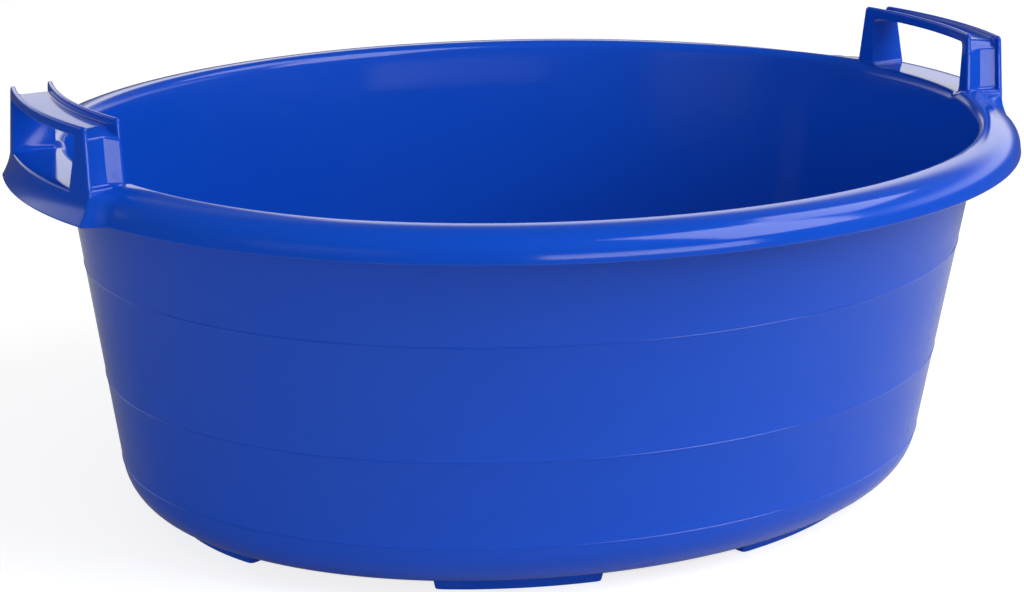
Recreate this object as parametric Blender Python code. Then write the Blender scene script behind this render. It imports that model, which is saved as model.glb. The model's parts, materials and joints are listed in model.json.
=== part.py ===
"""Oval tub with two bail handles, for feed and water.

The real tub is one injection moulding. It is built here from its moulded
regions, each a closed solid, with a fine seam where one region meets the next.

Frame: +Z up, +X along the tub's length towards the right handle, origin on the
ground at the middle of the footprint. All sizes are in metres.
"""
import math

import bmesh
import bpy

# Tub body
MOUTH_HALF_LENGTH = 0.330   # middle of the tub to the mouth's edge, along X
MOUTH_HALF_WIDTH = 0.272    # the same along Y
BODY_HEIGHT = 0.2542        # underside of the floor to the top of the rim
FOOT_HEIGHT = 0.0078
WALL_THICKNESS = 0.003
FLOOR_THICKNESS = 0.0035
SEAM = 0.0003               # gap where two moulded regions meet

# Side wall
WALL_SETBACK = 0.0011       # outer face of the wall at rim height, inside the mouth's edge
WALL_DRAFT = 0.155          # inward lean, metres for each metre of depth
HEEL_RADIUS = 0.036         # outer radius between the wall and the floor
HEEL_BAND = 0.0024          # straight part of the heel, up to the lowest mould line
LEDGE_DEPTH = 0.0004        # step at each mould line round the wall
LEDGE_SHARES = (0.289, 0.661)  # place of the other mould lines, as a share of the wall's height

# Rim
RIM_REACH = 0.0259          # mouth's edge to the outside of the rim
RIM_SKIRT = 0.020           # top of the rim to its lower edge
RIM_THICKNESS = 0.003
RIM_ROOT = 0.011            # depth of the rim region on the inner face
MOUTH_RADIUS = 0.007        # rounded inner edge of the mouth
SHOULDER_POWER = 2.5        # squareness of the rim's outer shoulder

# Feet
FOOT_INSET = 0.067          # mouth's edge to the outer face of the feet
FOOT_WIDTH = 0.014
SIDE_FOOT_TURN = 24.6       # middle of a side foot from the Y axis, in degrees
SIDE_FOOT_SWEEP = 25.8      # length of a side foot round the oval, in degrees
END_FOOT_SWEEP = 41.0       # length of an end foot round the oval, in degrees
FOOT_DRAFT = 0.0015         # how much each side of a foot leans in to the ground

# Handles, all heights above the top of the rim
HANDLE_REACH = 0.0320       # mouth's edge to the outer face of a handle, at the rim
HANDLE_LEAN = 0.0015        # how much less it reaches at the top
HANDLE_INSET = 0.003        # mouth's edge to the inner face of a handle
HANDLE_WALL = 0.0026
HANDLE_HALF_SPAN = 0.0745   # middle to the end of a handle at the rim, on the outer face
SPAN_TAPER = 0.0052         # how much shorter each end is at the top
LEG_WIDTH_OUTER = 0.0207    # width of a leg at the rim, on the outer face
LEG_WIDTH_INNER = 0.0162    # the same on the inner face
LEG_WIDTH_TOP = 0.0106
OUTER_RIDGE = 0.0413
INNER_RIDGE = 0.0437
RIDGE_DROP = 0.0025         # how much lower each ridge is at its ends
GRIP_LIP = 0.0292           # lower edge of the outer plate, and top of the legs
GRIP_FLOOR_OUTER = 0.0350   # channel floor against the outer plate
GRIP_FLOOR_INNER = 0.0388   # channel floor against the inner plate
WINDOW_CORNER = 0.0045      # length of the slope in the window's upper corners

# Apron below each handle, and the fairing beside it
APRON_MARGIN = 0.0008       # end of the handle to the end of the apron
APRON_FLARE = 0.0058        # how far the apron turns out at its lower edge
APRON_BEND = 1.7            # how late the apron turns out
FAIRING_HEIGHT = 0.0026     # rise of the fairing above the rim, beside the handle
FAIRING_END = 50.0          # where the fairing dies out round the oval, in degrees

# Facets
RING_STEPS = 72
WALL_STEPS = 36
RIM_STEPS = 32
APRON_STEPS = 10
FOOT_STEPS = 6
GRIP_STEPS = 8
LEG_STEPS = 2
ARC_STEPS = 5
SHOULDER_STEPS = 7
FLARE_STEPS = 4

# Derived places
RIM_TOP = FOOT_HEIGHT + BODY_HEIGHT
RIM_EDGE = RIM_TOP - RIM_SKIRT
SIDES = (("right", 1), ("left", -1))
ENDS = (("rear", 1), ("front", -1))

# Colours, linear
BLUE = (0.010, 0.070, 0.400)
BLUE_FLOOR = (0.010, 0.064, 0.370)


def clear_scene():
    for item in list(bpy.data.objects):
        bpy.data.objects.remove(item, do_unlink=True)


def plastic(name, colour, roughness):
    """Glossy moulded polypropylene."""
    material = bpy.data.materials.new(name)
    material.use_nodes = True
    shader = material.node_tree.nodes["Principled BSDF"]
    shader.inputs["Base Color"].default_value = (*colour, 1.0)
    shader.inputs["Roughness"].default_value = roughness
    shader.inputs["Metallic"].default_value = 0.0
    return material


def spread(first, last, steps):
    """Evenly spaced values from first to last."""
    return [first + (last - first) * i / steps for i in range(steps + 1)]


def blend(first, last, share):
    """Value part of the way from first to last."""
    return first + (last - first) * share


def oval_point(angle, out, z):
    """Point at an angle round the mouth's oval, moved out by a distance."""
    x = (MOUTH_HALF_LENGTH + out) * math.cos(angle)
    y = (MOUTH_HALF_WIDTH + out) * math.sin(angle)
    return (x, y, z)


def skin_rows(name, rows, closed, material):
    """Join rows of points into one closed body. An open run gets a cap at each end."""
    shape = bmesh.new()
    loops = [[shape.verts.new(point) for point in row] for row in rows]
    count = len(loops)
    size = len(loops[0])
    for i in range(count if closed else count - 1):
        here = loops[i]
        there = loops[(i + 1) % count]
        for j in range(size):
            k = (j + 1) % size
            shape.faces.new((here[j], here[k], there[k], there[j]))
    if not closed:
        shape.faces.new(loops[0])
        shape.faces.new(list(reversed(loops[-1])))
    bmesh.ops.remove_doubles(shape, verts=shape.verts, dist=0.00001)
    return store(name, shape, material)


def store(name, shape, material):
    """Keep a shape as a named object with its faces pointing out."""
    bmesh.ops.recalc_face_normals(shape, faces=shape.faces)
    mesh = bpy.data.meshes.new(name)
    shape.to_mesh(mesh)
    shape.free()
    mesh.materials.append(material)
    mesh.shade_smooth()
    mesh.set_sharp_from_angle(angle=math.radians(35))
    item = bpy.data.objects.new(name, mesh)
    bpy.context.collection.objects.link(item)
    return item


def arc(centre, radius, start, end):
    """Points of an arc in the section's plane, from one angle to another."""
    points = []
    for turn in spread(start, end, ARC_STEPS):
        out = centre[0] + radius * math.cos(turn)
        z = centre[1] + radius * math.sin(turn)
        points.append((out, z))
    return points


def wall_out(z, depth):
    """Offset of the wall's face at a height, a depth in from its outer skin."""
    return -WALL_SETBACK - WALL_DRAFT * (RIM_TOP - z) - depth


def heel_arc(radius, flat_z, depth):
    """Rounded heel that runs on from the flat at flat_z and ends up along the wall."""
    lean = math.atan(WALL_DRAFT)
    centre_z = flat_z + radius
    touch_z = centre_z - radius * math.sin(lean)
    centre_out = wall_out(touch_z, depth) - radius * math.cos(lean)
    return arc((centre_out, centre_z), radius, -math.pi / 2, -lean)


def outer_heel():
    return heel_arc(HEEL_RADIUS, FOOT_HEIGHT, 0.0)


def inner_heel():
    return heel_arc(HEEL_RADIUS - WALL_THICKNESS, FOOT_HEIGHT + FLOOR_THICKNESS, WALL_THICKNESS)


def heel_top():
    """Height of the lowest mould line, where the heel meets the wall."""
    return outer_heel()[-1][1] + HEEL_BAND


def heel_section():
    """Rounded heel from the floor's edge up to the lowest mould line."""
    top = heel_top() - SEAM
    section = outer_heel() + [(wall_out(top, 0.0), top), (wall_out(top, WALL_THICKNESS), top)]
    return section + inner_heel()[::-1]


def wall_section():
    """Drafted wall. The outer face steps out a little at each mould line."""
    bottom = heel_top()
    top = RIM_TOP - RIM_ROOT - SEAM
    section = [(wall_out(bottom, WALL_THICKNESS), bottom), (wall_out(bottom, -LEDGE_DEPTH), bottom)]
    for share in LEDGE_SHARES:
        z = blend(bottom, top, share)
        section.append((wall_out(z, 0.0), z))
        section.append((wall_out(z, -LEDGE_DEPTH), z + LEDGE_DEPTH))
    return section + [(wall_out(top, 0.0), top), (wall_out(top, WALL_THICKNESS), top)]


def mouth_centre():
    """Centre of the mouth's rounded edge, which runs on from the wall's inner face."""
    lean = math.atan(WALL_DRAFT)
    centre_z = RIM_TOP - MOUTH_RADIUS
    touch_z = centre_z + MOUTH_RADIUS * math.sin(lean)
    centre_out = wall_out(touch_z, WALL_THICKNESS) + MOUTH_RADIUS * math.cos(lean)
    return (centre_out, centre_z)


def mouth_arc(depth):
    """Rounded edge of the mouth from the wall to the top, a depth below the skin."""
    start = math.pi - math.atan(WALL_DRAFT)
    return arc(mouth_centre(), MOUTH_RADIUS - depth, start, math.pi / 2)


def root_points():
    """Inner and outer corners where the rim meets the side wall."""
    z = RIM_TOP - RIM_ROOT
    return (wall_out(z, WALL_THICKNESS), z), (wall_out(z, 0.0), z)


def shoulder(depth):
    """Rounded shoulder of the rim from its top to its lower edge, a depth below the skin."""
    start = mouth_centre()[0]
    points = []
    for turn in spread(math.pi / 2, 0.0, SHOULDER_STEPS)[1:]:
        across = max(math.cos(turn), 0.0) ** (2.0 / SHOULDER_POWER)
        rise = max(math.sin(turn), 0.0) ** (2.0 / SHOULDER_POWER)
        out = start + (RIM_REACH - depth - start) * across
        points.append((out, RIM_EDGE + (RIM_SKIRT - depth) * rise))
    return points


def fairing(angle, out):
    """Rise of the fairing that runs from a handle along the mouth's edge."""
    turn = math.degrees(math.asin(abs(math.sin(angle))))
    first = math.degrees(apron_angle())
    run = (turn - first) / (FAIRING_END - first)
    if run >= 1.0:
        return 0.0
    width = blend(RIM_REACH, RIM_REACH * 0.38, min(1.0, 3.0 * run) ** 0.6)
    cover = min(1.0, max(0.0, (width - out) / (0.2 * RIM_REACH)))
    return FAIRING_HEIGHT * (1.0 - max(run, 0.0)) * cover


def rim_section(angle):
    """Hooked rim, open below, with the fairing beside a handle."""
    inner_root, outer_root = root_points()
    upper = mouth_arc(0.0) + shoulder(0.0)
    raised = [(out, z + fairing(angle, out)) for out, z in upper]
    under = mouth_arc(RIM_THICKNESS) + shoulder(RIM_THICKNESS)
    return [inner_root] + raised + under[::-1] + [outer_root]


def apron_face(depth):
    """Outer face below a handle, turning out towards its lower edge."""
    points = []
    for share in spread(0.0, 1.0, FLARE_STEPS):
        out = HANDLE_REACH - depth + APRON_FLARE * share ** APRON_BEND
        points.append((out, blend(RIM_TOP - depth, RIM_EDGE, share)))
    return points


def apron_section(web):
    """Rim below a handle. A web closes the step to the plain rim at either end."""
    inner_root, outer_root = root_points()
    upper = mouth_arc(0.0) + apron_face(0.0)
    under = mouth_arc(RIM_THICKNESS) + apron_face(RIM_THICKNESS)
    if web:
        limit = RIM_REACH - 2.0 * RIM_THICKNESS
        under = [(min(out, limit), z) for out, z in under]
    return [inner_root] + upper + under[::-1] + [outer_root]


def span_angle(span):
    """Angle round the oval of a distance along a handle's outer face."""
    return math.asin(span / (MOUTH_HALF_WIDTH + HANDLE_REACH))


def apron_angle():
    return span_angle(HANDLE_HALF_SPAN + APRON_MARGIN)


def seam_angle():
    return SEAM / MOUTH_HALF_WIDTH


def handle_point(side, span, out, rise):
    """Point on a handle, from its distance along the handle, out, and above the rim."""
    across = (out - HANDLE_INSET) / (HANDLE_REACH - HANDLE_INSET)
    lean = HANDLE_LEAN * across * rise / OUTER_RIDGE
    x, y, z = oval_point(span_angle(span), out - lean, RIM_TOP + rise)
    return (side * x, y, z)


def end_span(rise):
    """Half span of a handle at a height above the rim."""
    return HANDLE_HALF_SPAN - SPAN_TAPER * rise / INNER_RIDGE


def jamb_span(rise, out):
    """Half span of the window at a height above the rim."""
    across = (out - HANDLE_INSET) / (HANDLE_REACH - HANDLE_INSET)
    width = blend(LEG_WIDTH_INNER, LEG_WIDTH_OUTER, across)
    return end_span(rise) - blend(width, LEG_WIDTH_TOP, min(1.0, rise / GRIP_LIP))


def build_floor(material):
    """Flat floor panel inside the heel."""
    lower_out = outer_heel()[0][0] - SEAM
    upper_out = inner_heel()[0][0] - SEAM
    shape = bmesh.new()
    loops = []
    for out, z in ((lower_out, FOOT_HEIGHT), (upper_out, FOOT_HEIGHT + FLOOR_THICKNESS)):
        angles = spread(0.0, 2.0 * math.pi, RING_STEPS)[:-1]
        loops.append([shape.verts.new(oval_point(angle, out, z)) for angle in angles])
    for i in range(RING_STEPS):
        k = (i + 1) % RING_STEPS
        shape.faces.new((loops[0][i], loops[0][k], loops[1][k], loops[1][i]))
    shape.faces.new(loops[0][::-1])
    shape.faces.new(loops[1])
    store("floor", shape, material)


def build_side_wall(material):
    """Heel and wall, each in a front and a rear run that meet below the handles."""
    first = seam_angle() / 2.0
    for part_name, section in (("heel", heel_section()), ("wall", wall_section())):
        for end_name, way in ENDS:
            rows = []
            for angle in spread(first, math.pi - first, WALL_STEPS):
                rows.append([oval_point(way * angle, out, z) for out, z in section])
            skin_rows(part_name + "_" + end_name, rows, False, material)


def build_rim(material):
    """Front and rear runs of the rim, between the two handles."""
    first = apron_angle() + seam_angle()
    for name, way in ENDS:
        rows = []
        for angle in spread(first, math.pi - first, RIM_STEPS):
            rows.append([oval_point(way * angle, out, z) for out, z in rim_section(angle)])
        skin_rows("rim_" + name, rows, False, material)


def build_apron(side_name, side, material):
    """Rim and apron below one handle."""
    edge = apron_angle()
    web_end = edge - HANDLE_WALL / MOUTH_HALF_WIDTH
    hollow = apron_section(False)
    webbed = apron_section(True)
    stops = [(-edge, webbed), (-web_end, webbed)]
    stops += [(angle, hollow) for angle in spread(-web_end, web_end, APRON_STEPS)]
    stops += [(web_end, webbed), (edge, webbed)]
    rows = []
    for angle, section in stops:
        row = [oval_point(angle, out, z) for out, z in section]
        rows.append([(side * x, y, z) for x, y, z in row])
    skin_rows("apron_" + side_name, rows, False, material)


def grip_section(floor_outer, floor_inner):
    """Channel between two plates, heights above the rim."""
    outer = HANDLE_REACH - HANDLE_WALL
    inner = HANDLE_INSET + HANDLE_WALL
    return [
        (HANDLE_REACH, GRIP_LIP),
        (HANDLE_REACH, OUTER_RIDGE),
        (outer, OUTER_RIDGE),
        (outer, floor_outer),
        (inner, floor_inner),
        (inner, INNER_RIDGE),
        (HANDLE_INSET, INNER_RIDGE),
        (HANDLE_INSET, floor_inner - HANDLE_WALL),
        (outer, floor_outer - HANDLE_WALL),
        (outer, GRIP_LIP),
    ]


def build_grip(side_name, side, material):
    """Hand grip over the window, with a deeper pocket over each leg."""
    pocket = GRIP_LIP + HANDLE_WALL
    over_window = grip_section(GRIP_FLOOR_OUTER, GRIP_FLOOR_INNER)
    over_leg = grip_section(pocket, pocket)
    corner = WINDOW_CORNER / HANDLE_HALF_SPAN
    stops = []
    for share in spread(-1.0, 1.0, GRIP_STEPS):
        stops.append((over_window, share * (1.0 - corner), 0.0))
    for share in spread(0.0, 1.0, LEG_STEPS):
        stops.append((over_leg, 1.0, share))
        stops.insert(0, (over_leg, -1.0, share))
    rows = []
    for section, share, along in stops:
        row = []
        for out, rise in section:
            reach = blend(jamb_span(rise, out), end_span(rise), along)
            if along == 1.0 and rise > OUTER_RIDGE - RIDGE_DROP:
                rise -= RIDGE_DROP
            row.append(handle_point(side, share * reach, out, rise))
        rows.append(row)
    skin_rows("grip_" + side_name, rows, False, material)


def build_leg(side_name, side, end_name, end, material):
    """Hollow leg between the rim and the grip."""
    shape = bmesh.new()
    rings = []
    for rise in (SEAM, GRIP_LIP - SEAM):
        for inset in (0.0, HANDLE_WALL):
            ring = []
            for out, order in ((HANDLE_REACH - inset, 1), (HANDLE_INSET + inset, -1)):
                jamb = jamb_span(rise, out) + inset
                last = end_span(rise) - inset
                for span in spread(jamb, last, LEG_STEPS)[::order]:
                    point = handle_point(side, end * span, out, rise)
                    ring.append(shape.verts.new(point))
            rings.append(ring)
    low_skin, low_core, high_skin, high_core = rings
    size = len(low_skin)
    pairs = ((low_skin, high_skin), (high_skin, high_core), (high_core, low_core), (low_core, low_skin))
    for near, far in pairs:
        for i in range(size):
            k = (i + 1) % size
            shape.faces.new((near[i], near[k], far[k], far[i]))
    store("leg_" + side_name + "_" + end_name, shape, material)


def build_foot(name, middle, sweep, material):
    """Low pad that follows the oval, a little smaller at the ground."""
    lean = FOOT_DRAFT / MOUTH_HALF_WIDTH
    top = FOOT_HEIGHT - SEAM
    outer = -FOOT_INSET
    inner = outer - FOOT_WIDTH
    corners = (
        (outer, top, 0.0),
        (outer - FOOT_DRAFT, 0.0, lean),
        (inner + FOOT_DRAFT, 0.0, lean),
        (inner, top, 0.0),
    )
    rows = []
    for share in spread(-1.0, 1.0, FOOT_STEPS):
        row = []
        for out, z, shorter in corners:
            angle = math.radians(middle) + share * (math.radians(sweep / 2.0) - shorter)
            row.append(oval_point(angle, out, z))
        rows.append(row)
    skin_rows(name, rows, False, material)


def build_feet(material):
    for side_name, side in SIDES:
        middle = 0.0 if side > 0 else 180.0
        build_foot("foot_" + side_name, middle, END_FOOT_SWEEP, material)
        for end_name, end in ENDS:
            middle = end * 90.0 - side * end * SIDE_FOOT_TURN
            name = "foot_" + end_name + "_" + side_name
            build_foot(name, middle, SIDE_FOOT_SWEEP, material)


def build():
    clear_scene()
    build_floor(plastic("tub_floor", BLUE_FLOOR, 0.22))
    build_side_wall(plastic("tub_wall", BLUE, 0.16))
    build_rim(plastic("tub_rim", BLUE, 0.14))
    build_feet(plastic("tub_feet", BLUE_FLOOR, 0.30))
    handle_blue = plastic("tub_handles", BLUE, 0.18)
    for side_name, side in SIDES:
        build_apron(side_name, side, handle_blue)
        build_grip(side_name, side, handle_blue)
        for end_name, end in ENDS:
            build_leg(side_name, side, end_name, end, handle_blue)


build()
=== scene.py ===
import json
import math

import bmesh
import bpy
from mathutils import Matrix, Vector

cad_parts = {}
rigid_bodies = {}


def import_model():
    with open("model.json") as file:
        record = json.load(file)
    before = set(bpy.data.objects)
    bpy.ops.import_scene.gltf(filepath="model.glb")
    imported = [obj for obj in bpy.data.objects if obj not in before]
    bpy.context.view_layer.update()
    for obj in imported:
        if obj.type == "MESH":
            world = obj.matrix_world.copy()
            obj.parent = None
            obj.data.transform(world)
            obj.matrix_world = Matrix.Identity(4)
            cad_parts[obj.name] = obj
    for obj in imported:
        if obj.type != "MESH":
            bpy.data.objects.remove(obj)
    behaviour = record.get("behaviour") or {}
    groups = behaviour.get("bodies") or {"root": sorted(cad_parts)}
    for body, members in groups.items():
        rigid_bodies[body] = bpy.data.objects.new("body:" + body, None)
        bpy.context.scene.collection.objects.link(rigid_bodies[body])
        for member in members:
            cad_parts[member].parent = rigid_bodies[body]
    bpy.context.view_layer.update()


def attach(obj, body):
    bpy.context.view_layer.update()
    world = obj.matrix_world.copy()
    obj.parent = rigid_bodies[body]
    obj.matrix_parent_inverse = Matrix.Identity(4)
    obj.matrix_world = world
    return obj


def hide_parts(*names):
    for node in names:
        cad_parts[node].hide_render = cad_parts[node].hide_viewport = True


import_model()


# Studio
# The tub stands on a white sheet in front of a white sweep, with a large soft panel at its
# right front, a low strip in front and three plain fills for the shaded sides. A second
# panel, high on the right, is only mirrored in the rim.

SHEET_EDGE = (0.70, 1.05)
SHEET_WHITE = (0.60, 0.60, 0.61, 1.0)
FLOOR_DARK = (0.10, 0.10, 0.11, 1.0)
PAPER_SHADE = (0.42, 0.42, 0.42, 1.0)
PAPER_GLOW = 0.78
FLOOR_REACH = 9.0
WHITE = (1.0, 1.0, 1.0, 1.0)


def colour_mix(tree, share, first, second):
    """Mix of two colours, each a plain value or a socket."""
    mix = tree.nodes.new("ShaderNodeMix")
    mix.data_type = "RGBA"
    tree.links.new(share, mix.inputs["Factor"])
    for socket, colour in ((mix.inputs[6], first), (mix.inputs[7], second)):
        if isinstance(colour, bpy.types.NodeSocket):
            tree.links.new(colour, socket)
        else:
            socket.default_value = colour
    return mix.outputs[2]


def shader_mix(tree, share, first, second):
    mix = tree.nodes.new("ShaderNodeMixShader")
    tree.links.new(share, mix.inputs["Fac"])
    tree.links.new(first, mix.inputs[1])
    tree.links.new(second, mix.inputs[2])
    return mix.outputs["Shader"]


def soft_step(tree, value, low, high):
    """Smooth step from 0 to 1 between two values."""
    step = tree.nodes.new("ShaderNodeMapRange")
    step.interpolation_type = "SMOOTHSTEP"
    step.inputs["From Min"].default_value = low
    step.inputs["From Max"].default_value = high
    tree.links.new(value, step.inputs["Value"])
    return step.outputs["Result"]


def studio_white(name):
    """White to the camera, still darkened by the tub's shadow. To everything else it is a
    pale sheet round the tub on a darker floor."""
    material = bpy.data.materials.new(name)
    material.use_nodes = True
    tree = material.node_tree
    place = tree.nodes.new("ShaderNodeTexCoord")
    far = tree.nodes.new("ShaderNodeVectorMath")
    far.operation = "LENGTH"
    tree.links.new(place.outputs["Object"], far.inputs[0])
    edge = soft_step(tree, far.outputs["Value"], *SHEET_EDGE)
    shader = tree.nodes["Principled BSDF"]
    tree.links.new(colour_mix(tree, edge, SHEET_WHITE, FLOOR_DARK), shader.inputs["Base Color"])
    shader.inputs["Roughness"].default_value = 0.7
    shader.inputs["Specular IOR Level"].default_value = 0.2
    paper = tree.nodes.new("ShaderNodeBsdfDiffuse")
    paper.inputs["Color"].default_value = PAPER_SHADE
    backlit = tree.nodes.new("ShaderNodeEmission")
    backlit.inputs["Color"].default_value = WHITE
    backlit.inputs["Strength"].default_value = PAPER_GLOW
    seen = tree.nodes.new("ShaderNodeAddShader")
    tree.links.new(backlit.outputs["Emission"], seen.inputs[0])
    tree.links.new(paper.outputs["BSDF"], seen.inputs[1])
    path = tree.nodes.new("ShaderNodeLightPath")
    sheet = shader_mix(tree, path.outputs["Is Camera Ray"], shader.outputs["BSDF"],
                       seen.outputs["Shader"])
    tree.links.new(sheet, tree.nodes["Material Output"].inputs["Surface"])
    return material


floor_mesh = bpy.data.meshes.new("studio_floor")
floor_corners = ((-1, -1), (1, -1), (1, 1), (-1, 1))
floor_mesh.from_pydata([(x * FLOOR_REACH, y * FLOOR_REACH, 0) for x, y in floor_corners], [], [(0, 1, 2, 3)])
studio_floor = bpy.data.objects.new("studio_floor", floor_mesh)
bpy.context.scene.collection.objects.link(studio_floor)
floor_mesh.materials.append(studio_white("studio_floor_white"))


def soft_panel(name, place, aim, size, power, mirrored=True, lights=True):
    """Rectangular soft light that faces a point. A fill isn't mirrored in the gloss, and a
    panel that lights nothing is only mirrored."""
    data = bpy.data.lights.new(name, "AREA")
    data.shape = "RECTANGLE"
    data.size, data.size_y = size
    data.energy = power
    panel = bpy.data.objects.new(name, data)
    panel.location = place
    panel.rotation_euler = (Vector(aim) - Vector(place)).to_track_quat("-Z", "Y").to_euler()
    panel.visible_glossy = mirrored
    panel.visible_diffuse = lights
    bpy.context.scene.collection.objects.link(panel)


soft_panel("panel_right", (1.25, -1.66, 1.82), (0.0, 0.0, 0.25), (1.4, 2.2), 59)
soft_panel("panel_high", (1.72, -0.24, 2.18), (0.0, 0.0, 0.25), (1.3, 0.9), 16, lights=False)
soft_panel("strip_front", (0.30, -2.60, 0.28), (0.0, 0.0, 0.27), (1.9, 0.28), 10)
soft_panel("fill_left", (-2.20, -1.35, 0.74), (0.0, 0.0, 0.16), (1.6, 0.7), 20, mirrored=False)
soft_panel("fill_right", (2.10, -1.20, 0.60), (0.0, 0.0, 0.20), (1.4, 0.9), 8, mirrored=False)
soft_panel("fill_front", (0.35, -2.10, 1.65), (0.1, 0.2, 0.20), (1.2, 1.0), 2, mirrored=False)

# Room light: the white sweep behind the tub is brightest where the rim's top mirrors it,
# the rest of the room is dim, and the camera sees plain white past the tub
SWEEP_WAY = (0.49, 0.87, 0.0)
SWEEP_SIDE = (-0.15, 0.25)
MIRROR_TONES = ((0.0, 0.06), (0.09, 0.16), (0.17, 1.0), (0.31, 1.0), (0.46, 0.16), (0.75, 0.05))
FILL_TONES = ((0.0, 0.70), (0.55, 0.60), (0.75, 0.285))

world = bpy.data.worlds.new("studio_room")
bpy.context.scene.world = world
world.use_nodes = True
room = world.node_tree
room.nodes.clear()
room_way = room.nodes.new("ShaderNodeTexCoord").outputs["Generated"]
room_path = room.nodes.new("ShaderNodeLightPath").outputs
room_height = room.nodes.new("ShaderNodeSeparateXYZ")
room.links.new(room_way, room_height.inputs["Vector"])
room_rear = room.nodes.new("ShaderNodeVectorMath")
room_rear.operation = "DOT_PRODUCT"
room_rear.inputs[1].default_value = SWEEP_WAY
room.links.new(room_way, room_rear.inputs[0])
sweep_side = soft_step(room, room_rear.outputs["Value"], *SWEEP_SIDE)


def room_light(dim, sweep, strength):
    """Background that is dim in front and takes the sweep's tones by height behind the tub."""
    tones = room.nodes.new("ShaderNodeValToRGB")
    ramp = tones.color_ramp
    while len(ramp.elements) < len(sweep):
        ramp.elements.new(0.5)
    for stop, (height, tone) in zip(ramp.elements, sweep):
        stop.position = height
        stop.color = (tone, tone, tone, 1.0)
    room.links.new(room_height.outputs["Z"], tones.inputs["Fac"])
    light = room.nodes.new("ShaderNodeBackground")
    light.inputs["Strength"].default_value = strength
    shade = colour_mix(room, sweep_side, (dim, dim, dim * 1.05, 1.0), tones.outputs["Color"])
    room.links.new(shade, light.inputs["Color"])
    return light.outputs["Background"]


room_white = room.nodes.new("ShaderNodeBackground")
room_white.inputs["Color"].default_value = WHITE
room_out = room.nodes.new("ShaderNodeOutputWorld")
unseen_room = shader_mix(room, room_path["Is Glossy Ray"], room_light(0.285, FILL_TONES, 1.0),
                         room_light(0.05, MIRROR_TONES, 1.8))
room.links.new(shader_mix(room, room_path["Is Camera Ray"], unseen_room, room_white.outputs["Background"]),
               room_out.inputs["Surface"])

# Camera: a long lens a little above the mouth, in front of the tub and to its left
CAMERA_PLACE = Vector((-0.88096, -1.57741, 0.66342))
CAMERA_RIGHT = Vector((0.87834, -0.47788, 0.01241)).normalized()
CAMERA_BACK = CAMERA_RIGHT.cross(Vector((0.12578, 0.25608, 0.95844))).normalized()
CAMERA_UP = CAMERA_BACK.cross(CAMERA_RIGHT)

camera_data = bpy.data.cameras.new("camera")
camera_data.sensor_width = 36.0
camera_data.lens = 93.66
camera_data.shift_x = 0.0005
camera_data.shift_y = 0.0095
camera = bpy.data.objects.new("camera", camera_data)
camera.matrix_world = Matrix.Translation(CAMERA_PLACE) @ Matrix(
    (CAMERA_RIGHT, CAMERA_UP, CAMERA_BACK)).transposed().to_4x4()
bpy.context.scene.collection.objects.link(camera)
bpy.context.scene.camera = camera
bpy.context.scene.view_settings.view_transform = "Standard"


# Tub body
# Floor, heel, wall and rolled rim, with the apron below each handle and the low fairing
# beside it. All of it is one injection moulding in glossy blue polypropylene, so its skin
# runs from the floor to the rim without a joint.

HALF_LENGTH = 0.330
HALF_WIDTH = 0.272
FOOT_HEIGHT = 0.0078
RIM_TOP = FOOT_HEIGHT + 0.2542
RIM_EDGE = RIM_TOP - 0.020
WALL = 0.003
FLOOR = 0.0035
SETBACK = 0.0011
DRAFT = 0.155
LEAN = math.atan(DRAFT)
HEEL_RADIUS = 0.036
MOUTH_RADIUS = 0.007
RIM_REACH = 0.0259
RIM_LIP = 0.0004
EDGE_RADIUS = 0.0016
SHOULDER_POWER = 2.5
HANDLE_REACH = 0.032
APRON_FLARE = 0.0058
APRON_BEND = 1.7
SILL_RADIUS = 0.0018
STRAIGHT_TOP = 0.012
MOULD_LINES = (0.0406, 0.1013, 0.1796)
BEAD = 0.0004
# Half the profile of a mould line: height along the wall, and share of the bead's height
BEAD_FLANK = 0.0012
BEAD_PROFILE = ((-0.0006, 0.25), (-0.0002, 0.85), (0.0002, 1.0), (0.00045, 0.6), (0.0006, 0.12),
                (0.0009, 0.0))


def spread(first, last, steps):
    return [first + (last - first) * i / steps for i in range(steps + 1)]


def wall_out(z, depth):
    """Offset of the wall from the mouth's oval at a height, a depth in from its outer skin."""
    return -SETBACK - DRAFT * (RIM_TOP - z) - depth


def arc(centre, radius, start, end, steps):
    return [(centre[0] + radius * math.cos(a), centre[1] + radius * math.sin(a))
            for a in spread(start, end, steps)]


def heel(radius, flat_z, depth):
    centre_z = flat_z + radius
    centre_out = wall_out(centre_z - radius * math.sin(LEAN), depth) - radius * math.cos(LEAN)
    return arc((centre_out, centre_z), radius, -math.pi / 2, -LEAN, 14)


MOUTH_CENTRE_Z = RIM_TOP - MOUTH_RADIUS
MOUTH_CENTRE = (wall_out(MOUTH_CENTRE_Z + MOUTH_RADIUS * math.sin(LEAN), WALL)
                + MOUTH_RADIUS * math.cos(LEAN))


def mouth(depth):
    """Rounded edge of the mouth, from the wall's side to the top."""
    return arc((MOUTH_CENTRE, MOUTH_CENTRE_Z), MOUTH_RADIUS - depth, math.pi - LEAN, math.pi / 2, 10)


def shoulder(depth, reach):
    """Rounded shoulder of the plain rim, from its top to just above its lower edge."""
    points = []
    for turn in spread(math.pi / 2, 0.0, 16)[1:]:
        across = max(math.cos(turn), 0.0) ** (2.0 / SHOULDER_POWER)
        rise = max(math.sin(turn), 0.0) ** (2.0 / SHOULDER_POWER)
        points.append((MOUTH_CENTRE + (reach - depth - MOUTH_CENTRE) * across,
                       RIM_EDGE + EDGE_RADIUS + (RIM_TOP - RIM_EDGE - EDGE_RADIUS - depth) * rise))
    return points


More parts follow.
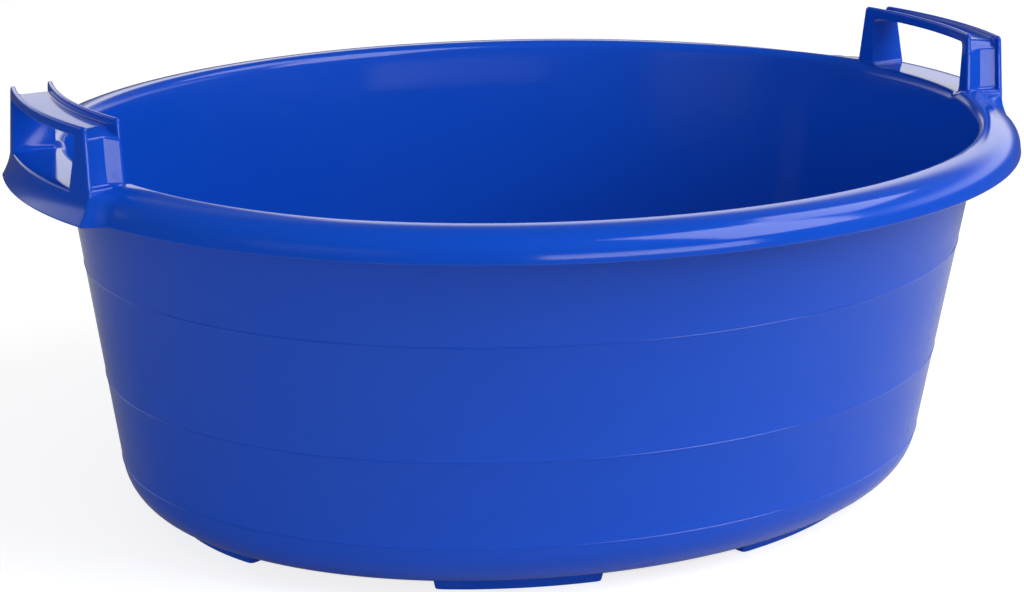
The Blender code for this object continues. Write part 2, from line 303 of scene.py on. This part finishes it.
def apron_face(depth):
    """Flat sill and flared face below a handle, with as many points as the shoulder."""
    corner = HANDLE_REACH - depth
    radius = SILL_RADIUS
    top = RIM_TOP - depth
    points = [(x, top) for x in spread(MOUTH_CENTRE, corner - radius, 5)[1:]]
    points += arc((corner - radius, top - radius), radius, math.pi / 2, 0.0, 3)[1:]
    for share in spread(0.0, 1.0, 8)[1:-1]:
        points.append((corner + APRON_FLARE * share ** APRON_BEND,
                       top - radius + (RIM_EDGE + EDGE_RADIUS - top + radius) * share))
    points.append((corner + APRON_FLARE, RIM_EDGE + EDGE_RADIUS))
    return points


def lower_edge(inner, outer):
    """Rounded lower edge, from the inside of the skirt to its outside."""
    middle = (inner + outer) / 2
    half = (outer - inner) / 2
    return [(middle - half * math.cos(a), RIM_EDGE + EDGE_RADIUS - EDGE_RADIUS * math.sin(a))
            for a in spread(0.0, math.pi, 8)]


def wall_outside():
    """Outer skin of the wall with the three fine raised mould lines."""
    points = []
    z = heel(HEEL_RADIUS, FOOT_HEIGHT, 0.0)[-1][1]
    for line in MOULD_LINES:
        points += [(wall_out(v, 0.0), v) for v in spread(z, line - BEAD_FLANK, 3)[1:]]
        for step, proud in BEAD_PROFILE:
            points.append((wall_out(line + step, 0.0) + BEAD * proud, line + step))
        z = line + BEAD_PROFILE[-1][0]
    return points + [(wall_out(v, 0.0), v) for v in spread(z, RIM_TOP - STRAIGHT_TOP, 4)[1:]]


def tub_section(apron):
    """Points of the skin as offset, share of the oval, and height, from floor to floor."""
    outside = heel(HEEL_RADIUS, FOOT_HEIGHT, 0.0) + wall_outside()
    if apron:
        under = apron_face(WALL)
        face = apron_face(0.0)
    else:
        under = shoulder(WALL, RIM_REACH - RIM_LIP)
        face = shoulder(0.0, RIM_REACH - RIM_LIP)
    outer_edge = face[-1][0] + (0.0 if apron else RIM_LIP)
    edge = lower_edge(under[-1][0], outer_edge)[1:]
    rim = mouth(WALL) + under + edge + face[:-1][::-1] + mouth(0.0)[::-1]
    inner_heel = heel(HEEL_RADIUS - WALL, FOOT_HEIGHT + FLOOR, WALL)[::-1]
    heights = spread(RIM_TOP - STRAIGHT_TOP, inner_heel[0][1], 12)
    inside = [(wall_out(v, WALL), v) for v in heights[:-1]] + inner_heel
    low = outside[0]
    high = inside[-1]
    rings = (0.0, 0.3, 0.6, 0.9)
    points = [(low[0], share, low[1]) for share in rings]
    points += [(out, 1.0, z) for out, z in outside + rim + inside]
    return points + [(high[0], share, high[1]) for share in rings[::-1]]


# Where the apron ends beside a handle, and how it runs out into the fairing and the rim
HANDLE_END = 0.0745
END_RADIUS = 0.0022
END_TURN = 0.866
END_DEPTH = 0.0105
END_SHARE = 0.895
APRON_RUN = 0.0163
SILL_RUN = 0.034
SILL_FALL = 1.4
FAIRING_RUN = 0.1405
FAIRING_START = 0.016
FAIRING_FALL = 1.2
FAIRING_WIDTH = 0.0215
FAIRING_TAPER = (0.6, 4.5, 0.45)
FAIRING_HEIGHT = 0.0026
FAIRING_EDGE = 0.0060


def oval_station(span):
    """What the rim does at a distance along the handle's outer face: share of the apron,
    lift and width of the fairing, and share of the flat sill."""
    past = span - HANDLE_END
    bend = END_RADIUS * END_TURN
    if past <= -bend:
        share = 1.0
    elif past < 0.0:
        share = 1.0 - (END_RADIUS - math.sqrt(END_RADIUS ** 2 - (past + bend) ** 2)) / END_DEPTH
    else:
        share = END_SHARE * max(0.0, 1.0 - past / APRON_RUN) ** 3
    run = min(1.0, max(0.0, past / FAIRING_RUN))
    rise = min(1.0, max(0.0, past / FAIRING_START + 1.0))
    lift = (1.0 - run) ** FAIRING_FALL * rise * rise * (3.0 - 2.0 * rise)
    narrow, haste, power = FAIRING_TAPER
    width = FAIRING_WIDTH * (1.0 - narrow * min(1.0, run * haste) ** power)
    sill = share
    if past > 0.0:
        sill = max(share, END_SHARE * max(0.0, 1.0 - past / SILL_RUN) ** SILL_FALL)
    return share, lift, width, sill


def oval_stations():
    """Angles round the oval with what the rim does there, closest together at the handles' ends."""
    spans = spread(0.0, 0.056, 14) + spread(0.056, 0.0725, 8)[1:] + spread(0.0725, HANDLE_END, 8)[1:]
    spans += spread(HANDLE_END, 0.092, 16)[1:] + spread(0.092, 0.110, 8)[1:]
    quarter = [math.asin(s / (HALF_WIDTH + HANDLE_REACH)) for s in spans]
    quarter += spread(quarter[-1], math.pi / 2, 50)[1:]
    half = quarter + [math.pi - a for a in quarter[-2::-1]]
    angles = half + [a + math.pi for a in half[1:]]
    return [(a, *oval_station(abs(math.sin(a)) * (HALF_WIDTH + HANDLE_REACH))) for a in angles]


def point_list(name, points):
    """Loose mesh that carries a list of points into a node tree."""
    mesh = bpy.data.meshes.new(name)
    mesh.from_pydata([tuple(p) for p in points], [], [])
    item = bpy.data.objects.new(name, mesh)
    bpy.context.scene.collection.objects.link(item)
    return item


def give_points(item, name, kind, values):
    """Write one value or vector for each point of a list."""
    made = item.data.attributes.new(name, kind, "POINT")
    made.data.foreach_set("vector" if kind == "FLOAT_VECTOR" else "value", values)


class Tree:
    """A geometry node tree under construction, with short calls for its nodes."""

    def __init__(self, name, inputs):
        self.tree = bpy.data.node_groups.new(name, "GeometryNodeTree")
        self.ids = {}
        self.tree.interface.new_socket("Geometry", in_out="INPUT", socket_type="NodeSocketGeometry")
        for label, kind in inputs:
            socket = self.tree.interface.new_socket(
                label, in_out="INPUT", socket_type="NodeSocket" + kind)
            self.ids[label] = socket.identifier
        self.tree.interface.new_socket("Geometry", in_out="OUTPUT", socket_type="NodeSocketGeometry")
        self.given = self.tree.nodes.new("NodeGroupInput")
        self.result = self.tree.nodes.new("NodeGroupOutput")

    def inp(self, label):
        return self.given.outputs[label]

    def put(self, node, values):
        for key, value in values.items():
            socket = node.inputs[key]
            if isinstance(value, bpy.types.NodeSocket):
                self.tree.links.new(value, socket)
            else:
                socket.default_value = value
        return node

    def node(self, kind, settings=None, **values):
        made = self.tree.nodes.new(kind)
        for key, value in (settings or {}).items():
            setattr(made, key, value)
        return self.put(made, {key.replace("_", " "): value for key, value in values.items()})

    def maths(self, operation, *values, clamp=False):
        made = self.node("ShaderNodeMath", {"operation": operation, "use_clamp": clamp})
        return self.put(made, dict(enumerate(values))).outputs[0]

    def add(self, a, b):
        return self.maths("ADD", a, b)

    def sub(self, a, b):
        return self.maths("SUBTRACT", a, b)

    def mul(self, a, b):
        return self.maths("MULTIPLY", a, b)

    def scaled(self, a, factor, b):
        return self.maths("MULTIPLY_ADD", a, factor, b)

    def sample(self, geometry, value, index, kind="FLOAT_VECTOR"):
        made = self.node("GeometryNodeSampleIndex", {"data_type": kind, "domain": "POINT"})
        return self.put(made, {"Geometry": geometry, "Value": value, "Index": index}).outputs["Value"]

    def attribute(self, name, kind="FLOAT_VECTOR"):
        return self.node("GeometryNodeInputNamedAttribute", {"data_type": kind}, Name=name).outputs["Attribute"]

    def parts(self, vector):
        return self.node("ShaderNodeSeparateXYZ", Vector=vector).outputs

    def spot(self, x, y, z):
        return self.node("ShaderNodeCombineXYZ", X=x, Y=y, Z=z).outputs["Vector"]

    def moved(self, geometry, spot):
        return self.node("GeometryNodeSetPosition", Geometry=geometry, Position=spot).outputs["Geometry"]

    def finish(self, geometry, material):
        """Realize, shade smooth, set the material and send it out."""
        real = self.node("GeometryNodeRealizeInstances", Geometry=geometry).outputs["Geometry"]
        smooth = self.node("GeometryNodeSetShadeSmooth", Geometry=real).outputs["Geometry"]
        made = self.node("GeometryNodeSetMaterial", Geometry=smooth, Material=material)
        self.tree.links.new(made.outputs["Geometry"], self.result.inputs["Geometry"])


def grown(name, source, tree, values):
    """Run a node tree on an object and keep the result as a plain mesh in a new object."""
    modifier = source.modifiers.new("grow", "NODES")
    modifier.node_group = tree.tree
    for label, value in values.items():
        modifier[tree.ids[label]] = value
    source.data.update()
    bpy.context.view_layer.update()
    evaluated = source.evaluated_get(bpy.context.evaluated_depsgraph_get())
    mesh = bpy.data.meshes.new_from_object(evaluated)
    source.modifiers.remove(modifier)
    mesh.name = name
    made = bpy.data.objects.new(name, mesh)
    bpy.context.scene.collection.objects.link(made)
    bpy.data.objects.remove(source, do_unlink=True)
    return made


MERGE = 0.000004


def face_out(mesh, sharp):
    """Point the faces outwards and keep only real corners sharp."""
    shape = bmesh.new()
    shape.from_mesh(mesh)
    bmesh.ops.remove_doubles(shape, verts=shape.verts, dist=MERGE)
    bmesh.ops.recalc_face_normals(shape, faces=shape.faces)
    if shape.calc_volume(signed=True) < 0.0:
        bmesh.ops.reverse_faces(shape, faces=shape.faces)
    shape.to_mesh(mesh)
    shape.free()
    mesh.shade_smooth()
    mesh.set_sharp_from_angle(angle=math.radians(sharp))


def oval_loft():
    """Tree that sweeps a section round the oval and turns it into the apron at each handle."""
    t = Tree("oval_loft", [
        ("Stations", "Object"), ("Half Length", "Float"), ("Half Width", "Float"),
        ("Fairing Height", "Float"), ("Fairing Edge", "Float"), ("Material", "Material")])
    section = t.inp("Geometry")
    stations = t.node("GeometryNodeObjectInfo", Object=t.inp("Stations")).outputs["Geometry"]
    rows, columns = [
        t.node("GeometryNodeAttributeDomainSize", {"component": "MESH"}, Geometry=points).outputs["Point Count"]
        for points in (section, stations)]
    grid = t.node("GeometryNodeMeshGrid", Vertices_X=columns, Vertices_Y=rows).outputs["Mesh"]
    index = t.node("GeometryNodeInputIndex").outputs["Index"]
    column = t.maths("FLOOR", t.maths("DIVIDE", t.add(index, 0.5), rows))
    row = t.sub(index, t.mul(column, rows))
    place = t.node("GeometryNodeInputPosition").outputs["Position"]
    plain_out, plain_share, plain_height = t.parts(t.sample(section, place, row))
    apron_out, _, apron_height = t.parts(t.sample(section, t.attribute("apron"), row))
    angle, apron, lift = t.parts(t.sample(stations, place, column))
    width = t.sample(stations, t.attribute("width", "FLOAT"), column, "FLOAT")
    sill = t.sample(stations, t.attribute("sill", "FLOAT"), column, "FLOAT")
    out = t.scaled(t.sub(apron_out, plain_out), apron, plain_out)
    height = t.scaled(t.sub(apron_height, plain_height), sill, plain_height)

    # The fairing lifts the top of the rim beside the handle
    cover = t.maths("DIVIDE", t.sub(width, out), t.inp("Fairing Edge"), clamp=True)
    cover = t.mul(t.mul(cover, cover), t.scaled(cover, -2.0, 3.0))
    skin = t.parts(t.sample(section, t.attribute("skin"), row))["X"]
    height = t.scaled(t.mul(cover, t.mul(lift, skin)), t.inp("Fairing Height"), height)

    across = t.mul(t.mul(t.add(t.inp("Half Length"), out), plain_share), t.maths("COSINE", angle))
    deep = t.mul(t.mul(t.add(t.inp("Half Width"), out), plain_share), t.maths("SINE", angle))
    swept = t.moved(grid, t.spot(across, deep, height))
    closed = t.node("GeometryNodeMergeByDistance", Geometry=swept, Distance=MERGE).outputs["Geometry"]
    t.finish(closed, t.inp("Material"))
    return t


def skin_group():
    """Surface of moulded plastic: faint flow lines, fine scuffs and scratches, as a colour,
    a roughness and a height."""
    group = bpy.data.node_groups.new("moulded_skin", "ShaderNodeTree")
    for label, kind in (("Colour", "Color"), ("Worn Colour", "Color"), ("Roughness", "Float"),
                        ("Scuffs", "Float"), ("Flow", "Float"), ("Scale", "Float")):
        group.interface.new_socket(label, in_out="INPUT", socket_type="NodeSocket" + kind)
    for label, kind in (("Colour", "Color"), ("Roughness", "Float"), ("Height", "Float")):
        group.interface.new_socket(label, in_out="OUTPUT", socket_type="NodeSocket" + kind)
    nodes = group.nodes
    links = group.links
    given = nodes.new("NodeGroupInput").outputs
    result = nodes.new("NodeGroupOutput").inputs
    where = nodes.new("ShaderNodeTexCoord").outputs["Object"]

    def maths(operation, *values, clamp=False):
        made = nodes.new("ShaderNodeMath")
        made.operation = operation
        made.use_clamp = clamp
        for socket, value in zip(made.inputs, values):
            if isinstance(value, bpy.types.NodeSocket):
                links.new(value, socket)
            else:
                socket.default_value = value
        return made.outputs[0]

    def noise(scale, detail, stretch, roughness=0.5):
        mapping = nodes.new("ShaderNodeMapping")
        mapping.inputs["Scale"].default_value = (1.0, 1.0, stretch)
        links.new(where, mapping.inputs["Vector"])
        made = nodes.new("ShaderNodeTexNoise")
        links.new(mapping.outputs["Vector"], made.inputs["Vector"])
        links.new(maths("MULTIPLY", given["Scale"], scale), made.inputs["Scale"])
        made.inputs["Detail"].default_value = detail
        made.inputs["Roughness"].default_value = roughness
        return made.outputs["Fac"]

    flow = noise(9.0, 3.0, 0.16)
    cloud = noise(5.0, 2.0, 1.0)
    grain = noise(900.0, 2.0, 1.0)
    rub = noise(38.0, 6.0, 2.2, 0.7)
    streak = noise(160.0, 3.0, 0.05, 0.6)
    scuff = maths("MULTIPLY", maths("MULTIPLY_ADD", rub, 5.0, -2.9, clamp=True), given["Scuffs"])
    scratch = maths("MULTIPLY", maths("MULTIPLY_ADD", streak, 9.0, -5.9, clamp=True), given["Scuffs"])
    mark = maths("ADD", scuff, maths("MULTIPLY", scratch, 0.6), clamp=True)
    patch = maths("MULTIPLY", maths("MULTIPLY_ADD", cloud, 2.0, -0.8, clamp=True), 0.10)
    worn = maths("MULTIPLY_ADD", mark, 0.35, patch)
    links.new(colour_mix(group, worn, given["Colour"], given["Worn Colour"]), result["Colour"])
    uneven = maths("MULTIPLY_ADD", maths("SUBTRACT", cloud, 0.5), 0.08, given["Roughness"])
    links.new(maths("MULTIPLY_ADD", mark, 0.28, uneven, clamp=True), result["Roughness"])
    relief = maths("MULTIPLY_ADD", grain, 0.012, maths("MULTIPLY", flow, given["Flow"]))
    links.new(maths("MULTIPLY_ADD", mark, -0.05, relief), result["Height"])
    return group


MOULDED_SKIN = skin_group()
PLASTIC_IOR = 1.49
PLASTIC_GLOSS = 0.31
RELIEF_DEPTH = 0.0006
RELIEF_STRENGTH = 0.6


def blue_plastic(name, colour, worn, roughness, scuffs, flow, scale=1.0):
    """Glossy blue polypropylene with the moulded skin's marks."""
    material = bpy.data.materials.new(name)
    material.use_nodes = True
    tree = material.node_tree
    shader = tree.nodes["Principled BSDF"]
    skin = tree.nodes.new("ShaderNodeGroup")
    skin.node_tree = MOULDED_SKIN
    for label, value in (("Colour", (*colour, 1.0)), ("Worn Colour", (*worn, 1.0)),
                         ("Roughness", roughness), ("Scuffs", scuffs), ("Flow", flow), ("Scale", scale)):
        skin.inputs[label].default_value = value
    bump = tree.nodes.new("ShaderNodeBump")
    bump.inputs["Strength"].default_value = RELIEF_STRENGTH
    bump.inputs["Distance"].default_value = RELIEF_DEPTH
    tree.links.new(skin.outputs["Height"], bump.inputs["Height"])
    tree.links.new(skin.outputs["Colour"], shader.inputs["Base Color"])
    tree.links.new(skin.outputs["Roughness"], shader.inputs["Roughness"])
    tree.links.new(bump.outputs["Normal"], shader.inputs["Normal"])
    shader.inputs["IOR"].default_value = PLASTIC_IOR
    shader.inputs["Specular IOR Level"].default_value = PLASTIC_GLOSS
    return material


BLUE = (0.0035, 0.062, 0.490)
BLUE_WORN = (0.020, 0.110, 0.600)
FAIRING_SKIN = 0.009
BODY_CREASE = 38

tub_blue = blue_plastic("tub_blue", BLUE, BLUE_WORN, 0.12, 0.30, 0.5)
plain_points = tub_section(False)
apron_points = tub_section(True)
outer_top = [1.0 if z > RIM_TOP - FAIRING_SKIN and i > len(plain_points) * 0.5 else 0.0
             for i, (_, _, z) in enumerate(plain_points)]
section_list = point_list("tub_section", plain_points)
give_points(section_list, "apron", "FLOAT_VECTOR", [v for p in apron_points for v in p])
give_points(section_list, "skin", "FLOAT_VECTOR", [v for share in outer_top for v in (share, 0.0, 0.0)])
stations = oval_stations()
station_list = point_list("tub_stations", [s[:3] for s in stations])
give_points(station_list, "width", "FLOAT", [s[3] for s in stations])
give_points(station_list, "sill", "FLOAT", [s[4] for s in stations])
tub_body = grown("tub_body", section_list, oval_loft(), {
    "Stations": station_list, "Half Length": HALF_LENGTH, "Half Width": HALF_WIDTH,
    "Fairing Height": FAIRING_HEIGHT, "Fairing Edge": FAIRING_EDGE, "Material": tub_blue})
bpy.data.objects.remove(station_list, do_unlink=True)
face_out(tub_body.data, BODY_CREASE)
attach(tub_body, "root")
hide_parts("floor", "heel_front", "heel_rear", "wall_front", "wall_rear", "rim_front",
            "rim_rear", "apron_right", "apron_left")


# Handles
# One bail handle at each end, moulded in one with the rim: two tapered legs and a grip
# shaped as an open gutter between an outer and an inner plate. The end of each leg is a
# shallow recess. All edges and inside corners are rounded for the mould.

# Sizes in millimetres: X along the handle, Y from the mouth's oval outwards, Z above the rim
HANDLE_SIZES = {
    "Inner Face": 3.0, "Outer Face": 32.0, "Plate": 3.7, "Half Span": 74.5, "End Lean": 0.119,
    "Outer Ridge": 41.3, "Inner Ridge": 43.7, "Leg Outer": 20.7, "Leg Inner": 16.2, "Leg Top": 10.6,
    "Gutter Outer": 37.0, "Gutter Inner": 38.8, "Gutter End": 31.8, "Skin": 2.6, "Hollow": 3.6,
    "Root": 4.5, "Side": 1.0}
RIDGE_STEP = (15.0, 20.0)
GUTTER_DESCENT = (58.0, 71.0)
HOLLOW_START = 6.6
HOLLOW_SLOPE = 0.47
HOLLOW_SILL = 2.8
ROOT_MIDDLE = 16.5
ROOT_HALF_WIDTH = 12.5
ROOT_ENDS = (45.0, 73.0)
ROOT_RAISE = 0.15
ROOT_DEPTH = 2.6
HANDLE_LEAN = 1.5
# Roundings of its edges and inside corners
RIDGE_ROUND = 4.0
FACE_ROUND = 3.3
GUTTER_INNER_ROUND = 1.4
GUTTER_OUTER_ROUND = 5.0
GUTTER_LIP_ROUND = 2.8
WINDOW_CORNER_ROUND = 5.0
WINDOW_EDGE_ROUND = 2.0
HOLLOW_FLOOR_ROUND = 1.2
HOLLOW_CORNER_ROUND = 2.6
HOLLOW_SILL_ROUND = 2.4
HOLLOW_EDGE_ROUND = 1.2
# The solid is a field of distances on a grid of cells just over half a millimetre wide
HANDLE_BOX = ((-82.0, 1.6, -3.8), (82.0, 34.0, 45.2))
HANDLE_CELLS = (300, 60, 90)
FIELD_SLOPE = -0.35
FIELD_SKIN = 0.5
MM = 0.001
NO_CREASE = 180


def field_skin(t, distance, box, cells):
    """Mesh of the skin where a field of distances in millimetres is zero."""
    density = t.maths("MULTIPLY_ADD", distance, FIELD_SLOPE, FIELD_SKIN, clamp=True)
    cube = t.node("GeometryNodeVolumeCube", Density=density, Background=0.0, Min=box[0], Max=box[1],
                  Resolution_X=cells[0], Resolution_Y=cells[1], Resolution_Z=cells[2])
    return t.node("GeometryNodeVolumeToMesh", {"resolution_mode": "GRID"}, Volume=cube.outputs["Volume"],
                  Threshold=FIELD_SKIN, Adaptivity=0.0).outputs["Mesh"]


def handle_volume():
    """Tree that shapes the handle as a solid field in millimetres and bends it round the oval."""
    t = Tree("bail_handle", [(label, "Float") for label in HANDLE_SIZES] + [("Material", "Material")])
    along, y, z = t.parts(t.node("GeometryNodeInputPosition").outputs["Position"])
    x = t.maths("ABSOLUTE", along)
    size, add, sub, mul = t.inp, t.add, t.sub, t.mul

    def div(a, b, clamp=False):
        return t.maths("DIVIDE", a, b, clamp=clamp)

    def ease(low, high, value):
        share = div(sub(value, low), high - low, clamp=True)
        return mul(mul(share, share), t.scaled(share, -2.0, 3.0))

    def blend(low, high, share):
        return t.scaled(sub(high, low), share, low)

    def largest(first, *others):
        for other in others:
            first = t.maths("MAXIMUM", first, other)
        return first

    def both(a, b, rounding):
        return t.maths("SMOOTH_MAX", a, b, rounding)

    def less(a, b, rounding):
        return both(a, mul(b, -1.0), rounding)

    end = sub(size("Half Span"), mul(z, size("End Lean")))
    depth = sub(size("Outer Face"), size("Inner Face"))
    across = div(sub(y, size("Inner Face")), depth, clamp=True)
    ridge = blend(size("Inner Ridge"), size("Outer Ridge"), ease(*RIDGE_STEP, y))
    inner_wall = add(size("Inner Face"), size("Plate"))
    outer_wall = sub(size("Outer Face"), size("Plate"))

    # Outside: between the two faces, below the ridges, rounded at the ends
    thick = largest(sub(y, size("Outer Face")), sub(size("Inner Face"), y))
    body = both(thick, both(sub(z, ridge), sub(x, end), RIDGE_ROUND), FACE_ROUND)

    # Gutter between the plates, with a wide fillet under the outer one
    floor = blend(blend(size("Gutter Inner"), size("Gutter Outer"), across), size("Gutter End"),
                  ease(*GUTTER_DESCENT, x))
    gutter = both(sub(inner_wall, y), sub(floor, z), GUTTER_INNER_ROUND)
    gutter = both(gutter, sub(y, outer_wall), GUTTER_OUTER_ROUND)
    body = less(body, gutter, GUTTER_LIP_ROUND)

    # Window: through both plates, up to the underside of the gutter
    width = blend(blend(size("Leg Inner"), size("Leg Outer"), across), size("Leg Top"),
                  div(z, size("Gutter End"), clamp=True))
    window = both(sub(x, sub(end, width)), sub(z, sub(floor, size("Skin"))), WINDOW_CORNER_ROUND)
    body = less(body, window, WINDOW_EDGE_ROUND)

    # End of each leg: a hollow whose inner side slopes down from the inner plate to a flat
    # face beside the outer one
    slope = mul(sub(y, HOLLOW_START), HOLLOW_SLOPE)
    deep = t.maths("SMOOTH_MIN", slope, size("Hollow"), HOLLOW_FLOOR_ROUND)
    hollow = both(sub(sub(end, deep), x), sub(y, outer_wall), HOLLOW_CORNER_ROUND)
    hollow = both(hollow, sub(HOLLOW_SILL, z), HOLLOW_SILL_ROUND)
    body = less(body, hollow, HOLLOW_EDGE_ROUND)

    # Root: each leg spreads where it meets the rim, and ends below the rim's skin
    pad = largest(add(z, ROOT_RAISE), sub(t.maths("ABSOLUTE", sub(y, ROOT_MIDDLE)), ROOT_HALF_WIDTH),
                  sub(x, ROOT_ENDS[1]), sub(ROOT_ENDS[0], x))
    body = t.maths("SMOOTH_MIN", body, pad, size("Root"))
    body = largest(body, sub(-ROOT_DEPTH, z))
    skin = field_skin(t, body, HANDLE_BOX, HANDLE_CELLS)

    # Bend: along the oval, leaning in a little towards the top of the outer face
    rise = div(largest(z, 0.0), size("Outer Ridge"))
    lean = mul(mul(div(sub(y, size("Inner Face")), depth), rise), HANDLE_LEAN)
    out = mul(sub(y, lean), MM)
    angle = t.maths("ARCSINE", mul(along, MM / (HALF_WIDTH + HANDLE_REACH)))
    spot = t.spot(mul(mul(add(out, HALF_LENGTH), t.maths("COSINE", angle)), size("Side")),
                  mul(add(out, HALF_WIDTH), t.maths("SINE", angle)),
                  add(mul(z, MM), RIM_TOP))
    t.finish(t.moved(skin, spot), t.inp("Material"))
    return t


handle_blue = blue_plastic("handle_blue", BLUE, BLUE_WORN, 0.11, 0.45, 0.3, 1.6)
handle_tree = handle_volume()
for side_name, side in (("right", 1.0), ("left", -1.0)):
    handle_seed = point_list("handle_seed_" + side_name, [(0.0, 0.0, 0.0)])
    handle = grown("handle_" + side_name, handle_seed, handle_tree,
                   {**HANDLE_SIZES, "Side": side, "Material": handle_blue})
    face_out(handle.data, NO_CREASE)
    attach(handle, "root")
    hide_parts("grip_" + side_name, "leg_" + side_name + "_front", "leg_" + side_name + "_rear")


# Feet
# Six low pads under the edge of the floor, moulded with it. They keep the floor off the
# ground, which has dulled their undersides.

FOOT_BLUE = (0.004, 0.060, 0.460)
FOOT_WORN = (0.045, 0.110, 0.420)
FOOT_LEAN = 0.19
FOOT_CORNER_ROUND = 5.0
FOOT_EDGE_ROUND = 1.6
FOOT_OVERLAP = 0.7
FOOT_WIDTH = 14.0
FOOT_INSET = 0.067
FOOT_MIDDLE_INSET = 0.07
FOOT_BOX = ((-78.0, -9.0, -1.4), (78.0, 9.0, 10.0))
FOOT_CELLS = (230, 30, 20)
METRE = 1000.0
# Angle of each foot's middle round the oval, and the angle that the foot covers
END_FOOT_SWEEP = 41.0
SIDE_FOOT_SWEEP = 25.8
SIDE_FOOT_TURN = 24.6
FEET = {"foot_right": (0.0, END_FOOT_SWEEP), "foot_left": (180.0, END_FOOT_SWEEP)}
for end_name, end in (("front", -1), ("rear", 1)):
    for side_name, side in (("right", 1), ("left", -1)):
        foot_middle = end * 90.0 - side * end * SIDE_FOOT_TURN
        FEET["foot_" + end_name + "_" + side_name] = (foot_middle, SIDE_FOOT_SWEEP)


def foot_volume():
    """Tree that shapes one rounded pad in millimetres and bends it round the oval."""
    t = Tree("foot_pad", [("Middle", "Float"), ("Half Length", "Float"), ("Pitch", "Float"),
                          ("Inset", "Float"), ("Width", "Float"), ("Height", "Float"),
                          ("Material", "Material")])
    add, sub, mul = t.add, t.sub, t.mul
    x, y, z = t.parts(t.node("GeometryNodeInputPosition").outputs["Position"])
    half = mul(t.inp("Width"), 0.5)
    lean = mul(sub(t.inp("Height"), z), FOOT_LEAN)
    side = add(sub(t.maths("ABSOLUTE", y), half), lean)
    tip = add(sub(t.maths("ABSOLUTE", x), t.inp("Half Length")), lean)
    body = t.maths("SMOOTH_MAX", side, tip, FOOT_CORNER_ROUND)
    body = t.maths("SMOOTH_MAX", body, sub(0.0, z), FOOT_EDGE_ROUND)
    body = t.maths("MAXIMUM", body, sub(z, add(t.inp("Height"), FOOT_OVERLAP)))
    skin = field_skin(t, body, FOOT_BOX, FOOT_CELLS)
    angle = add(t.maths("DIVIDE", x, t.inp("Pitch")), t.inp("Middle"))
    out = sub(mul(sub(y, half), MM), t.inp("Inset"))
    spot = t.spot(mul(add(out, HALF_LENGTH), t.maths("COSINE", angle)),
                  mul(add(out, HALF_WIDTH), t.maths("SINE", angle)),
                  mul(z, MM))
    t.finish(t.moved(skin, spot), t.inp("Material"))
    return t


foot_blue = blue_plastic("foot_blue", FOOT_BLUE, FOOT_WORN, 0.32, 1.0, 0.3, 1.3)
foot_tree = foot_volume()
for foot_name, (middle, sweep) in FEET.items():
    turn = math.radians(middle)
    pitch = METRE * math.hypot((HALF_LENGTH - FOOT_MIDDLE_INSET) * math.sin(turn),
                               (HALF_WIDTH - FOOT_MIDDLE_INSET) * math.cos(turn))
    foot_seed = point_list(foot_name + "_seed", [(0.0, 0.0, 0.0)])
    foot = grown(foot_name + "_pad", foot_seed, foot_tree, {
        "Middle": turn, "Half Length": math.radians(sweep / 2.0) * pitch, "Pitch": pitch,
        "Inset": FOOT_INSET, "Width": FOOT_WIDTH, "Height": METRE * FOOT_HEIGHT, "Material": foot_blue})
    face_out(foot.data, NO_CREASE)
    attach(foot, "root")
    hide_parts(foot_name)
